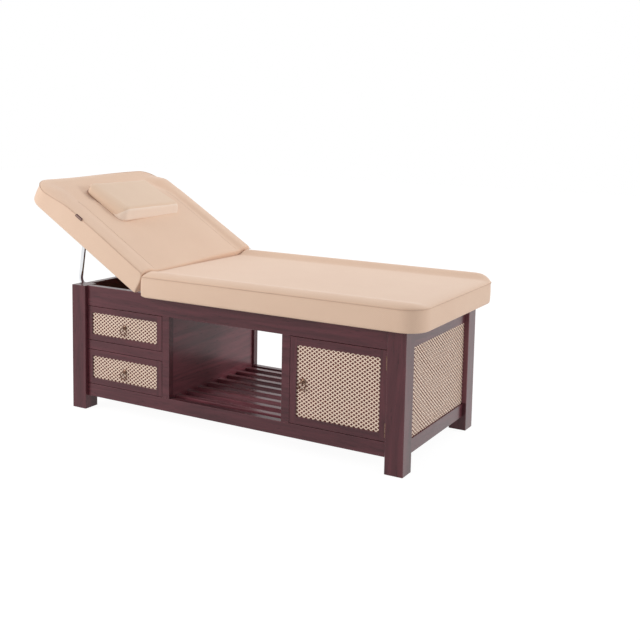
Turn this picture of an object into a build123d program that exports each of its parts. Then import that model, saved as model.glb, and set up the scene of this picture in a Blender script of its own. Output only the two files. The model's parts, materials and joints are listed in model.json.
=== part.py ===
from build123d import *
from math import atan2, ceil, cos, degrees, hypot, radians, sin, tan
import os

# Spa bed with a cabinet base.  Millimetres, +Z up, -Y is the front, -X is the head end.
# The model is laid out with X = 0 on the outer face of the head posts and Y = 0 on the long
# centre line; save() shifts it along X so that the origin is under the middle of the part.

# ---------------------------------------------------------------- cabinet carcass
base_length = 1600.0
base_width = 704.0
base_height = 550.0
post_size = 75.0
post_chamfer = 2.0
glide_height = 3.0
glide_radius = 26.0
rail_thickness = 30.0
rail_setback = 16.0
rail_chamfer = 1.2
top_rail_height = 87.0
bottom_rail_height = 56.0
bottom_rail_clearance = 61.0
tenon_length = 25.0
tenon_thickness = 12.0
tenon_shoulder = 8.0
joint_clearance = 0.2

# ---------------------------------------------------------------- bays of the front
drawer_bay_width = 411.0
bay_stile_width = 36.0
open_bay_width = 548.0
partition_thickness = 18.0
partition_setback = 9.0
divider_height = 39.0
lower_drawer_extra = 3.0
end_board_thickness = 12.0
back_panel_thickness = 12.0
floor_thickness = 12.0

# ---------------------------------------------------------------- slatted shelf
slat_count = 8
slat_width = 29.0
slat_thickness = 20.0
slat_edge = 41.4
slat_break = 2.0
bearer_width = 20.0
bearer_height = 22.0

# ---------------------------------------------------------------- cane work
cane_pitch_wide = 20.5
cane_pitch_high = 15.5
cane_strand_width = 4.5
cane_layer = 0.8
cane_border = 3.0
cane_recess = 4.0
cane_rabbet = 6.0
backing_thickness = 9.0

# ---------------------------------------------------------------- drawers and door
front_gap = 2.0
front_thickness = 20.0
front_chamfer = 1.2
drawer_member = 26.0
door_member = 30.0
drawer_depth = 560.0
drawer_wall = 12.0
drawer_bottom = 5.0
drawer_bottom_lift = 6.0
drawer_side_clearance = 3.0
drawer_top_clearance = 14.0
runner_thickness = 14.0
runner_ledge = 12.0
runner_height = 50.0
runner_ledge_height = 10.0
runner_clearance = 0.5

# ---------------------------------------------------------------- ring pulls
rosette_radius = 12.0
rosette_thickness = 4.0
rosette_dome = 2.5
pull_boss_radius = 4.6
pull_boss_length = 8.0
pull_eye_clearance = 0.6
ring_radius = 16.0
ring_wire_radius = 2.5
ring_wire_sides = 8
pull_above_centre = 1.0
door_pull_inset = 28.0

# ---------------------------------------------------------------- door hinges
door_knuckle_radius = 4.0
door_pin_radius = 1.6
door_leaf_thickness = 0.8
door_leaf_depth = 15.0
door_hinge_height = 54.0
door_hinge_inset = 45.0
pin_clearance = 0.05
knuckle_gap = 0.4

# ---------------------------------------------------------------- upholstered sections
hinge_x = 420.0
hinge_above_base = 62.0
backrest_incline = 31.0
foot_overhang = 75.0
head_overhang = 308.0
side_overhang = 48.0
corner_radius = 90.0
crown = 50.0
crown_round = 22.0
bolster_width = 94.0
centre_recess = 18.0
skirt_drop = 2.0
cover_side = 12.0
cover_end = 2.0
frame_rail = 30.0
frame_deck = 12.0
frame_floor = 5.0
frame_seat_clearance = 0.4
section_gap = 3.0
mitre_allowance = 1.2

# ---------------------------------------------------------------- backrest hinge
hinge_knuckle_radius = 6.0
hinge_pin_radius = 3.0
hinge_leaf_thickness = 1.2
hinge_leaf_height = 24.0
hinge_side_gap = 42.0
hinge_knuckles = 5
hinge_pocket_clearance = 1.5

# ---------------------------------------------------------------- prop bail
bail_rod_radius = 9.5
bail_post_gap = 3.5
bail_corner_radius = 48.0
bail_length = 232.0
bail_pivot_outset = 16.0
bail_pivot_drop = 94.0
bail_lean_angle = 8.2
bail_pin_radius = 4.0
bail_eye_radius = 11.0
ear_thickness = 4.0
ear_gap = 0.6
ear_radius = 12.0
bracket_length = 56.0
bracket_plate = 4.0
rest_width = 26.0
rest_from_leg = 74.0
rest_leaf_height = 44.0
rest_leaf_drop = 3.0
rest_leaf_thickness = 5.0
rest_tongue_thickness = 6.0
rest_tongue_past_rod = 9.0
rest_clearance = 0.6

# ---------------------------------------------------------------- pillow
pillow_width = 412.0
pillow_length = 248.0
pillow_height = 70.0
pillow_thin_end = 38.0
pillow_from_hinge = 350.0
pillow_offset = 12.0
pillow_round = 17.0
pillow_end_break = 6.0
pillow_clearance = 0.6

# ---------------------------------------------------------------- derived places
front_y = -base_width / 2 + rail_setback
bottom_rail_top = bottom_rail_clearance + bottom_rail_height
top_rail_bottom = base_height - top_rail_height
opening_height = top_rail_bottom - bottom_rail_top
divider_bottom = bottom_rail_top + (opening_height - divider_height + lower_drawer_extra) / 2
drawer_bay_end = post_size + drawer_bay_width
open_bay_start = drawer_bay_end + bay_stile_width
open_bay_end = open_bay_start + open_bay_width
door_bay_start = open_bay_end + bay_stile_width
door_bay_end = base_length - post_size
inner_y = base_width / 2 - rail_setback - rail_thickness
drawer_partition = open_bay_start - partition_setback - partition_thickness
door_partition = open_bay_end + partition_setback
incline = radians(backrest_incline)
hinge_z = base_height + hinge_above_base
hinge_width = base_width - 2 * hinge_side_gap
seat_length = base_length + foot_overhang - hinge_x
bail_half_width = base_width / 2 - post_size - bail_rod_radius - bail_post_gap
rest_offset = bail_half_width - rest_from_leg
backrest_length = hinge_x + head_overhang
frame_bottom = base_height + frame_seat_clearance - hinge_z
skirt_bottom = base_height - skirt_drop - hinge_z
head_reach = backrest_length * cos(incline) - skirt_bottom * sin(incline)
x_middle = (hinge_x + seat_length + hinge_x - head_reach) / 2
hinge_axis = Axis((hinge_x, 0, hinge_z), (0, 1, 0))


def box(x0, x1, y0, y1, z0, z1):
    """Box between two corners."""
    size = Box(x1 - x0, y1 - y0, z1 - z0)
    return Pos((x0 + x1) / 2, (y0 + y1) / 2, (z0 + z1) / 2) * size


def rod(radius, y0, y1, x=0.0, z=0.0):
    """Cylinder along Y."""
    return Pos(x, (y0 + y1) / 2, z) * Rot(90, 0, 0) * Cylinder(radius, y1 - y0)


def broken(solid, size):
    """The same solid with every edge lightly broken."""
    return chamfer(solid.edges(), size)


def save(name, shape):
    """Write one node, shifted so that the origin is under the middle of the part."""
    placed = Pos(-x_middle, 0, 0) * shape
    export_step(placed, "parts/" + name + ".step")


# ================================================================ carcass
def tenon(length, low, high, grow=0.0):
    """Stub tenon centred on Y = 0 that starts at X = 0 and points to +X."""
    half = tenon_thickness / 2 + grow
    return box(0, length + grow, -half, half, low - grow, high + grow)


def rail(length, low, high):
    """Rail along X, centred, with a stub tenon at each end."""
    half = length / 2
    body = box(-half, half, -rail_thickness / 2, rail_thickness / 2, low, high)
    stub = tenon(tenon_length, low + tenon_shoulder, high - tenon_shoulder)
    tenons = Pos(half, 0, 0) * stub + Pos(-half, 0, 0) * Rot(0, 0, 180) * stub
    return broken(body, rail_chamfer) + tenons


def post(side_x, side_y):
    """Corner post with the four mortises of the rails that meet in it."""
    half = post_size / 2
    body = box(-half, half, -half, half, glide_height, base_height)
    upright = body.edges().filter_by(Axis.Z)
    body = chamfer(list(upright) + list(body.edges().group_by(Axis.Z)[-1]), post_chamfer)
    in_line = half - rail_setback - rail_thickness / 2
    for low, high in rail_levels:
        cut = tenon(tenon_length, low + tenon_shoulder, high - tenon_shoulder, joint_clearance)
        body -= Pos(-side_x * half, side_y * in_line, 0) * Rot(0, 0, 90 - 90 * side_x) * cut
        body -= Pos(side_x * in_line, -side_y * half, 0) * Rot(0, 0, 90 * side_y) * cut
    x = base_length - half if side_x > 0 else half
    return Pos(x, side_y * (base_width / 2 - half), 0) * body


rail_levels = (
    (bottom_rail_clearance, bottom_rail_top),
    (top_rail_bottom, base_height),
)


def make_carcass():
    """Posts, rails, stiles and the foot glides."""
    for end, side_x in (("head", -1), ("foot", 1)):
        for face, side_y in (("front", -1), ("back", 1)):
            save("post_" + face + "_" + end, post(side_x, side_y))
    long_rail = base_length - 2 * post_size
    short_rail = base_width - 2 * post_size
    edge = rail_setback + rail_thickness / 2
    for level, (low, high) in zip(("bottom", "top"), rail_levels):
        for face, side_y in (("front", -1), ("back", 1)):
            place = Pos(base_length / 2, side_y * (base_width / 2 - edge), 0)
            save(face + "_" + level + "_rail", place * rail(long_rail, low, high))
        for end, x in (("head", edge), ("foot", base_length - edge)):
            save(end + "_" + level + "_rail", Pos(x, 0, 0) * Rot(0, 0, 90) * rail(short_rail, low, high))
    glides = [
        Pos(x, y, glide_height / 2) * Cylinder(glide_radius, glide_height)
        for x in (post_size / 2, base_length - post_size / 2)
        for y in (-(base_width - post_size) / 2, (base_width - post_size) / 2)
    ]
    save("foot_glides", Compound(glides))


def make_bays():
    """Stiles, divider, partitions, back panels, cupboard floor, shelf and drawer runners."""
    y_front = (front_y, front_y + rail_thickness)
    y_back = (-front_y - rail_thickness, -front_y)
    for face, (y0, y1) in (("front", y_front), ("back", y_back)):
        stiles = [
            broken(box(x, x + bay_stile_width, y0, y1, bottom_rail_top, top_rail_bottom), rail_chamfer)
            for x in (drawer_bay_end, open_bay_end)
        ]
        save(face + "_bay_stiles", Compound(stiles))
    divider = box(post_size, drawer_bay_end, *y_front, divider_bottom, divider_bottom + divider_height)
    save("drawer_divider_rail", broken(divider, rail_chamfer))
    for name, x in (("partition_drawers", drawer_partition), ("partition_cupboard", door_partition)):
        board = box(x, x + partition_thickness, -inner_y, inner_y, bottom_rail_clearance, base_height)
        save(name, board)
    panel_y = y_back[1] - back_panel_thickness
    for name, x0, x1 in (
        ("back_panel_drawers", post_size, drawer_bay_end),
        ("back_panel_cupboard", door_bay_start, door_bay_end),
    ):
        save(name, box(x0, x1, panel_y, y_back[1], bottom_rail_top, top_rail_bottom))
    foot_board = base_length - rail_setback - cane_recess - 2 * cane_layer - end_board_thickness
    floor_start = door_partition + partition_thickness
    floor = box(floor_start, foot_board, -inner_y, inner_y, bottom_rail_top - floor_thickness, bottom_rail_top)
    corner = box(door_bay_end, base_length, -base_width, base_width, 0, base_height)
    corner -= box(door_bay_end, base_length, -base_width / 2 + post_size, base_width / 2 - post_size, 0, base_height)
    foot_rail = box(foot_board - rail_thickness, base_length, -base_width, base_width, 0, bottom_rail_top)
    save("cupboard_floor", floor - corner - foot_rail)
    make_shelf()
    make_runners()


def make_shelf():
    """Eight loose-set slats along the open bay on two bearers."""
    bay_x0 = drawer_partition + partition_thickness
    bay_x1 = door_partition
    slat_bottom = bottom_rail_top - slat_thickness
    slat = box(bay_x0, bay_x1, -slat_width / 2, slat_width / 2, slat_bottom, bottom_rail_top)
    slat = chamfer(slat.edges().filter_by(Axis.X), slat_break)
    first = slat_edge - inner_y
    pitch = -2 * first / (slat_count - 1)
    save("shelf_slats", Compound([Pos(0, first + i * pitch, 0) * slat for i in range(slat_count)]))
    bearers = [
        box(x, x + bearer_width, -inner_y, inner_y, slat_bottom - bearer_height, slat_bottom)
        for x in (bay_x0, bay_x1 - bearer_width)
    ]
    save("shelf_bearers", Compound(bearers))


def runner(z):
    """L-section runner whose ledge top is at z, on the head side of a drawer."""
    upright = box(0, runner_thickness, -inner_y, inner_y, z - runner_ledge_height, z + runner_height)
    ledge_end = runner_thickness + runner_ledge
    return upright + box(0, ledge_end, -inner_y, inner_y, z - runner_ledge_height, z)


def make_runners():
    """One pair of runners for each drawer."""
    pairs = []
    for low, _high in drawer_openings:
        z = drawer_floor(low) - runner_clearance
        pairs.append(Pos(post_size, 0, 0) * runner(z))
        pairs.append(Pos(drawer_partition, 0, 0) * Rot(0, 0, 180) * runner(z))
    save("drawer_runners", Compound(pairs))


# ================================================================ cane work
def cane_sheet(width, height):
    """Two crossed layers of diagonal strands in a thin border; X by Z, front face at Y = 0."""
    angle = atan2(cane_pitch_high, cane_pitch_wide)
    spacing = cane_pitch_wide * sin(angle)
    reach = hypot(width, height)
    count = ceil(reach / spacing / 2)
    inside = Rectangle(width - 2 * cane_border, height - 2 * cane_border)
    slot = Rectangle(reach, spacing - cane_strand_width)
    turned = Rot(0, 0, degrees(angle))
    slots = [turned * Pos(0, (i + 0.5) * spacing) * slot for i in range(-count, count)]
    layer = extrude(Rectangle(width, height) - [inside & one for one in slots], -cane_layer)
    front = Rot(90, 0, 0) * layer
    back = Pos(0, cane_layer, 0) * front.mirror(Plane.YZ)
    return Compound(list(front.solids()) + list(back.solids()))


def make_end_panels():
    """Cane panels on backing boards that fill the head and the foot of the carcass."""
    width = base_width - 2 * post_size
    middle = bottom_rail_top + opening_height / 2
    cane = cane_sheet(width, opening_height)
    depth = cane_recess + 2 * cane_layer
    board = box(-width / 2, width / 2, depth, depth + end_board_thickness, -opening_height / 2, opening_height / 2)
    for end, x, turn in (("head", rail_setback, -90), ("foot", base_length - rail_setback, 90)):
        place = Pos(x, 0, middle) * Rot(0, 0, turn)
        save(end + "_cane", place * Pos(0, cane_recess, 0) * cane)
        save(end + "_backing", place * board)


# ================================================================ drawers and door
drawer_openings = (
    (divider_bottom + divider_height, top_rail_bottom),
    (bottom_rail_top, divider_bottom),
)


def drawer_floor(low):
    """Underside of the drawer box in the opening that starts at low."""
    return low + front_gap + runner_ledge_height


def panel_frame(x0, x1, z0, z1, member):
    """Front frame with a lip at the face and a rabbet behind it for cane and backing."""
    y1 = front_y + front_thickness
    frame = broken(box(x0, x1, front_y, y1, z0, z1), front_chamfer)
    frame -= box(x0 + member, x1 - member, front_y, y1, z0 + member, z1 - member)
    inset = member - cane_rabbet
    behind = front_y + cane_recess
    return frame - box(x0 + inset, x1 - inset, behind, y1, z0 + inset, z1 - inset)


def make_panel(name, x0, x1, z0, z1, member):
    """Frame, cane and backing of one front."""
    inset = member - cane_rabbet
    width = x1 - x0 - 2 * inset
    height = z1 - z0 - 2 * inset
    save(name + "_frame", panel_frame(x0, x1, z0, z1, member))
    face = front_y + cane_recess
    save(name + "_cane", Pos((x0 + x1) / 2, face, (z0 + z1) / 2) * cane_sheet(width, height))
    y0 = face + 2 * cane_layer
    save(name + "_backing", box(x0 + inset, x1 - inset, y0, y0 + backing_thickness, z0 + inset, z1 - inset))


def make_pull(name, x, z):
    """Domed rosette with a drilled boss, and the ring that hangs in its eye."""
    seat = front_y + cane_recess
    eye = seat - rosette_thickness - rosette_dome - ring_wire_radius
    profile = Polyline(
        (0, 0),
        (rosette_radius, 0),
        (rosette_radius, rosette_thickness / 2),
        (pull_boss_radius, rosette_thickness + rosette_dome),
        (0, rosette_thickness + rosette_dome),
        close=True,
    )
    rosette = revolve(Plane.XZ * make_face(profile), Axis.Z)
    boss_height = seat - eye + pull_boss_radius
    ball = Pos(0, 0, seat - eye) * Rot(0, 90, 0) * Cylinder(pull_boss_radius, pull_boss_length)
    neck = box(-pull_boss_length / 2, pull_boss_length / 2, -pull_boss_radius, pull_boss_radius, 0, seat - eye)
    rosette = rosette + ball + neck
    hole = Cylinder(ring_wire_radius + pull_eye_clearance, pull_boss_length)
    rosette -= Pos(0, 0, boss_height - pull_boss_radius) * Rot(0, 90, 0) * hole
    save(name + "_rosette", Pos(x, seat, z) * Rot(90, 0, 0) * rosette)
    wire = Pos(ring_radius, 0) * RegularPolygon(ring_wire_radius, ring_wire_sides)
    ring = revolve(Plane.XZ * wire, Axis.Z)
    save(name + "_ring", Pos(x, eye, z - ring_radius) * Rot(90, 0, 0) * ring)


def make_drawer(name, low, high):
    """Panelled front, open box, bottom board and ring pull."""
    x0 = post_size + front_gap
    x1 = drawer_bay_end - front_gap
    make_panel(name, x0, x1, low + front_gap, high - front_gap, drawer_member)
    box_x0 = post_size + runner_thickness + drawer_side_clearance
    box_x1 = drawer_partition - runner_thickness - drawer_side_clearance
    y0 = front_y + front_thickness
    y1 = front_y + drawer_depth
    z0 = drawer_floor(low)
    z1 = high - drawer_top_clearance
    walls = box(box_x0, box_x1, y0, y1, z0, z1)
    walls -= box(box_x0 + drawer_wall, box_x1 - drawer_wall, y0 + drawer_wall, y1 - drawer_wall, z0, z1)
    groove = drawer_wall / 2
    board = (box_x0 + groove, box_x1 - groove, y0 + groove, y1 - groove)
    floor = (z0 + drawer_bottom_lift, z0 + drawer_bottom_lift + drawer_bottom)
    bottom = box(*board, *floor)
    save(name + "_box", walls - bottom)
    save(name + "_bottom", bottom)
    make_pull(name, (x0 + x1) / 2, (low + high) / 2 + pull_above_centre)


def hinge_place():
    """Pin line of the door hinges, in the corner between the door face and its post."""
    return door_bay_end - door_knuckle_radius, front_y - door_knuckle_radius


def door_knuckle(z, height, bore):
    """One knuckle centred at height z, with a gap to the next; solid where bore is 0."""
    x, y = hinge_place()
    knuckle = Cylinder(door_knuckle_radius, height - knuckle_gap)
    if bore:
        knuckle -= Cylinder(bore, height)
    return Pos(x, y, z) * knuckle


def make_door_hinges(z0, z1):
    """Butt hinges: leaves in the gap between door and post, knuckles just proud of the face."""
    x, y = hinge_place()
    depth = front_y + door_leaf_depth
    edge = door_bay_end - front_gap
    room = door_knuckle_radius + knuckle_gap
    bore = door_pin_radius + pin_clearance
    quarter = door_hinge_height / 4
    fixed = []
    moving = []
    for z in (z0 + door_hinge_inset, z1 - door_hinge_inset):
        low = z - 2 * quarter
        high = z + 2 * quarter
        outer = (z - 1.5 * quarter, z + 1.5 * quarter)
        leaf = box(door_bay_end - door_leaf_thickness, door_bay_end, y, depth, low, high)
        leaf -= Pos(x, y, z) * Cylinder(room, 2 * quarter + knuckle_gap)
        for middle in outer:
            leaf += door_knuckle(middle, quarter, 0)
        fixed.append(leaf + Pos(x, y, z) * Cylinder(door_pin_radius, door_hinge_height))
        wing = box(edge, edge + door_leaf_thickness, y, depth, low, high)
        for middle in outer:
            wing -= Pos(x, y, middle) * Cylinder(room, quarter + knuckle_gap)
        wing -= Pos(x, y, z) * Cylinder(bore, door_hinge_height)
        moving.append(wing + door_knuckle(z, 2 * quarter, bore))
    save("door_hinges_post", Compound(fixed))
    save("door_hinges_leaf", Compound(moving))


def make_door():
    """Panelled door with its hinges and its ring pull."""
    x0 = door_bay_start + front_gap
    x1 = door_bay_end - front_gap
    z0 = bottom_rail_top + front_gap
    z1 = top_rail_bottom - front_gap
    make_panel("door", x0, x1, z0, z1, door_member)
    make_door_hinges(z0, z1)
    make_pull("door", x0 + door_member + door_pull_inset, (z0 + z1) / 2 + pull_above_centre)


# ================================================================ upholstered sections
def section_plan(length, inset, end_inset, gap):
    """Plan of a section: square at the hinge end, rounded at the far end."""
    half = base_width / 2 + side_overhang - inset
    start = section_gap / 2 + gap
    end = length - end_inset
    plan = Pos((start + end) / 2, 0) * Rectangle(end - start, 2 * half)
    corners = plan.vertices().group_by(Axis.X)[-1]
    return fillet(corners, corner_radius - inset)


def box_frame(length):
    """Decked box frame and its floor panel, in the hinge frame (axis at the origin, section to +X)."""
    plan = section_plan(length, cover_side, cover_side, cover_end)
    floor = Pos(0, 0, frame_bottom) * extrude(plan, frame_floor)
    ring_bottom = frame_bottom + frame_floor
    tray = Pos(0, 0, ring_bottom) * extrude(plan, -ring_bottom)
    hollow = section_plan(length, cover_side + frame_rail, cover_side + frame_rail, cover_end + frame_rail)
    tray -= Pos(0, 0, ring_bottom) * extrude(hollow, -ring_bottom - frame_deck)
    pocket = hinge_knuckle_radius + hinge_pocket_clearance
    half = base_width / 2 + side_overhang
    return Compound([floor, tray - rod(pocket, -half, half)])


def mitre_wedge():
    """Wedge that slopes the end of a pad away above the hinge line."""
    half = base_width
    start = section_gap / 2
    rise = 2 * crown
    slope = rise * tan(radians(backrest_incline / 2 + mitre_allowance))
    outline = Polyline((-crown, 0), (start, 0), (start + slope, rise), (-crown, rise), close=True)
    return Pos(0, half, 0) * extrude(Plane.XZ * make_face(outline), 2 * half)


def section_pad(length):
    """Foam and cover: crowned top, raised sides, skirt that wraps the box frame."""
    plan = section_plan(length, 0, 0, 0)
    pad = Pos(0, 0, skirt_bottom) * extrude(plan, crown - skirt_bottom)
    rim = [e for e in pad.edges().group_by(Axis.Z)[-1] if e.center().X > section_gap]
    pad = fillet(rim, crown_round)
    half = base_width / 2 + side_overhang - bolster_width
    end = length - bolster_width
    hollow = Pos(0, 0, crown - centre_recess) * box(0, end, -half, half, 0, centre_recess)
    pad -= hollow
    inner = section_plan(length, cover_side, cover_side, cover_end)
    pad -= Pos(0, 0, skirt_bottom) * extrude(inner, -skirt_bottom)
    under = section_plan(length, cover_side, cover_side, 0)
    pad -= Pos(0, 0, skirt_bottom) * extrude(under, frame_bottom - skirt_bottom)
    pocket = hinge_knuckle_radius + hinge_pocket_clearance
    return pad - mitre_wedge() - rod(pocket, -base_width, base_width)


def hinge_leaf(odd):
    """Leaf below the hinge line with every other knuckle, section to +X."""
    face = section_gap / 2
    half = hinge_width / 2
    leaf = box(face - hinge_leaf_thickness, face, -half, half, -hinge_leaf_height, 0)
    pitch = hinge_width / hinge_knuckles
    bore = hinge_pin_radius + pin_clearance
    leaf -= rod(bore, -half, half)
    for i in range(hinge_knuckles):
        y0 = -half + i * pitch + knuckle_gap / 2
        y1 = y0 + pitch - knuckle_gap
        if i % 2 == odd:
            leaf += rod(hinge_knuckle_radius, y0, y1) - rod(bore, y0, y1)
        else:
            leaf -= rod(hinge_knuckle_radius + knuckle_gap, y0 - knuckle_gap, y1 + knuckle_gap)
    return leaf


def raised(shape):
    """Turn a piece of the backrest from flat to its propped position."""
    return shape.rotate(hinge_axis, backrest_incline)


def make_sections():
    """Fixed seat section and the backrest that is hinged to it."""
    seat = Pos(hinge_x, 0, hinge_z)
    save("seat_frame", seat * box_frame(seat_length))
    save("seat_pad", seat * section_pad(seat_length))
    half = hinge_width / 2
    pin = rod(hinge_pin_radius, -half, half)
    save("seat_hinge_leaf", Compound([seat * hinge_leaf(0), seat * pin]))
    back = seat * Rot(0, 0, 180)
    save("backrest_frame", raised(back * box_frame(backrest_length)))
    save("backrest_pad", raised(back * section_pad(backrest_length)))
    save("backrest_hinge_leaf", raised(back * hinge_leaf(1)))


def make_pillow():
    """Loaf-shaped pillow, thick towards the seat and thin towards the head."""
    half = pillow_length / 2
    low = crown - centre_recess + pillow_clearance
    outline = Polyline(
        (-half, low),
        (half, low),
        (half, low + pillow_height),
        (-half, low + pillow_thin_end),
        close=True,
    )
    face = fillet(make_face(outline).vertices(), pillow_round)
    loaf = Pos(0, pillow_width / 2, 0) * extrude(Plane.XZ * face, pillow_width)
    ends = loaf.faces().filter_by(Axis.Y)
    loaf = chamfer(ends.edges(), pillow_end_break)
    middle = hinge_x - pillow_from_hinge - half
    save("pillow", raised(Pos(middle, pillow_offset, hinge_z) * loaf))


# ================================================================ prop bail
bail_x = -bail_pivot_outset
bail_z = hinge_z - bail_pivot_drop
fold_angle = backrest_incline + 90 - bail_lean_angle


def make_bail():
    """U-shaped rod that swings on two clevis brackets under the backrest."""
    pivot = Axis((bail_x, 0, bail_z), (0, 1, 0))
    end = bail_x - bail_length
    path = FilletPolyline(
        (bail_x, -bail_half_width, bail_z),
        (end, -bail_half_width, bail_z),
        (end, bail_half_width, bail_z),
        (bail_x, bail_half_width, bail_z),
        radius=bail_corner_radius,
    )
    section = Plane(origin=(bail_x, -bail_half_width, bail_z), z_dir=(-1, 0, 0)) * Circle(bail_rod_radius)
    bail = sweep(section, path=path)
    for y in (-bail_half_width, bail_half_width):
        width = (y - bail_rod_radius, y + bail_rod_radius)
        bail += rod(bail_eye_radius, *width, bail_x, bail_z)
        bail -= rod(bail_pin_radius + pin_clearance, *width, bail_x, bail_z)
    save("prop_bail", raised(bail.rotate(pivot, -fold_angle)))
    brackets = [raised(clevis(y)) for y in (-bail_half_width, bail_half_width)]
    save("bail_brackets", Compound(brackets))


def clevis(y):
    """Plate under the box frame with two ears and the pin of one leg of the bail."""
    top = hinge_z + frame_bottom
    half = bail_rod_radius + ear_gap + ear_thickness
    plate = box(bail_x - bracket_length / 2, bail_x + ear_radius, y - half, y + half, top - bracket_plate, top)
    ears = plate
    for y0 in (y - half, y + half - ear_thickness):
        y1 = y0 + ear_thickness
        ears += rod(ear_radius, y0, y1, bail_x, bail_z)
        ears += box(bail_x - ear_radius, bail_x + ear_radius, y0, y1, bail_z, top - bracket_plate)
    return ears + rod(bail_pin_radius, y - half, y + half, bail_x, bail_z)


def make_bail_rests():
    """Sloped tongues on the head rail that carry the crossbar along the line it leaves by."""
    ratio = fold_angle / backrest_incline
    reach = hinge_x - bail_x
    px = -reach * cos(incline) - bail_pivot_drop * sin(incline)
    pz = reach * sin(incline) - bail_pivot_drop * cos(incline)
    lean = radians(bail_lean_angle)
    bar_x = hinge_x + px - bail_length * sin(lean)
    bar_z = hinge_z + pz - bail_length * cos(lean)
    travel_x = -pz - (ratio - 1) * bail_length * cos(lean)
    travel_z = px + (ratio - 1) * bail_length * sin(lean)
    slope = atan2(-travel_z, -travel_x)
    top = bail_rod_radius + rest_clearance
    inward = (rail_setback - bar_x) / cos(slope)
    half = rest_width / 2
    tongue = box(-rest_tongue_past_rod, inward, -half, half, -top - rest_tongue_thickness, -top)
    tongue = Pos(bar_x, 0, bar_z) * Rot(0, -degrees(slope), 0) * tongue
    tongue -= box(rail_setback, base_length, -rest_width, rest_width, 0, base_height)
    leaf_top = bar_z - top / cos(slope) + (rail_setback - bar_x) * tan(slope) - rest_leaf_drop
    leaf = box(rail_setback - rest_leaf_thickness, rail_setback, -half, half, leaf_top - rest_leaf_height, leaf_top)
    rest = leaf + (tongue - leaf)
    save("bail_rests", Compound([Pos(0, y, 0) * rest for y in (-rest_offset, rest_offset)]))


os.makedirs("parts", exist_ok=True)
make_carcass()
make_bays()
make_end_panels()
make_drawer("drawer_upper", *drawer_openings[0])
make_drawer("drawer_lower", *drawer_openings[1])
make_door()
make_sections()
make_pillow()
make_bail()
make_bail_rests()
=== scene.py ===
import json
from math import atan2, copysign, cos, hypot, pi, radians, sin, sqrt, tan

import bpy
from mathutils import Matrix, Vector


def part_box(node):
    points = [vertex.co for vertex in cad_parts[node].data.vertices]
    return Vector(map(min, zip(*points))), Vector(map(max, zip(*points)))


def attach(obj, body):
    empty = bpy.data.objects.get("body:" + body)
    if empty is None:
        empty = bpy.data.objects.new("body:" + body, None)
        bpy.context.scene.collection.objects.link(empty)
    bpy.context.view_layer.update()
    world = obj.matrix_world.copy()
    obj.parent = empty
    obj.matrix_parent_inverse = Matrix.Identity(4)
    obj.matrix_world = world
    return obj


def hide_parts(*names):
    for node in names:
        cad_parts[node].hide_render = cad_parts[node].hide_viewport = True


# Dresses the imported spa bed: a finish for every node, upholstery, woven cane and ring pulls.
# Metres, in the frame of the CAD: +Z up, -Y the front, -X the head end. Colours are linear.

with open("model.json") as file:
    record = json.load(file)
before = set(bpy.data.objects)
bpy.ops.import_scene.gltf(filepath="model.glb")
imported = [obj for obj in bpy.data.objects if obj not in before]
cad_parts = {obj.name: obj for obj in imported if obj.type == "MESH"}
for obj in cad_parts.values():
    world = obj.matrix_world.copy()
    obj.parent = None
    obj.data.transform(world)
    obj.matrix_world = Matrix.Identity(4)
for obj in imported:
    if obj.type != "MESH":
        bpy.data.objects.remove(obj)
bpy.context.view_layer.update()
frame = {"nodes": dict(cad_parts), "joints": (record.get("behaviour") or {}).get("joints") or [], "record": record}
nodes = frame["nodes"]

# ---------------------------------------------------------------- camera
IMAGE_WIDTH = 640
FOCAL_PIXELS = 957.6
PRINCIPAL_ROW = 224
SENSOR = 36.0
CAMERA_SPOT = Vector((2.244, -3.419, 1.299))
CAMERA_YAW = radians(29.359)
CAMERA_PITCH = radians(6.411)
CAMERA_ROLL = radians(1.100)

# ---------------------------------------------------------------- stage and light
FLOOR_HALF = 14.0
FLOOR_COLOUR = (0.8, 0.8, 0.8)
FLOOR_SHADOW = (0.12, 0.12, 0.12)
FLOOR_GLOW = 0.95
AMBIENT = 0.61

# ---------------------------------------------------------------- wood
WOOD_DARK = (0.058, 0.0150, 0.0200)
WOOD_LIGHT = (0.132, 0.0340, 0.0440)
WOOD_PORE = (0.020, 0.005, 0.007)
# paler edges: part wear, part painted highlight where the edges catch the light
WOOD_EDGE_WEAR_AND_HIGHLIGHT = (0.240, 0.110, 0.120)
# painted light: a paler colour mixed onto the inward faces of the carcass, which sit in shade
WOOD_INSIDE_PAINTED_LIGHT = (0.300, 0.120, 0.145)
# grey added to the paler, painted-light copy of the stain, for each unit of lift above 1
WOOD_PAINTED_LIGHT_GREY = 0.010
PINE_DARK = (0.45, 0.29, 0.16)
PINE_LIGHT = (0.66, 0.48, 0.30)
BACKING_DARK = (0.100, 0.017, 0.013)
BACKING_LIGHT = (0.145, 0.028, 0.022)
# painted light: the stain of the inner parts made this many times paler, as they sit in shade
INNER_PAINTED_LIGHT = 1.9
# how much of the painted light goes on the inward faces
INSIDE_PAINTED_LIGHT_SHARE = 0.45
PORE_SHARE = 0.55
PORE_LEVEL = 0.64
LOOKS_UP = 0.7
LOOKS_IN = -0.15
LEG_TOP = 0.12
WOOD_COAT = 1.0
WORN_COAT = 0.6
GRAIN_ALONG = 2.2
GRAIN_ACROSS = 26.0
# radius of the worn edges with their painted highlight
EDGE_WEAR_AND_HIGHLIGHT_RADIUS = 0.0022
JOINT_LINE = 0.0004
JOINT_SHARE = 0.7
# inner parts that get the paler, painted-light copy of the stain
INNER_PAINTED_LIGHT_PARTS = ("partition_drawers", "partition_cupboard", "shelf_slats", "shelf_bearers")
# width of the stiles of each panelled front
FRONT_MEMBER = {"drawer_upper_frame": 0.026, "drawer_lower_frame": 0.026, "door_frame": 0.030}

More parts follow.
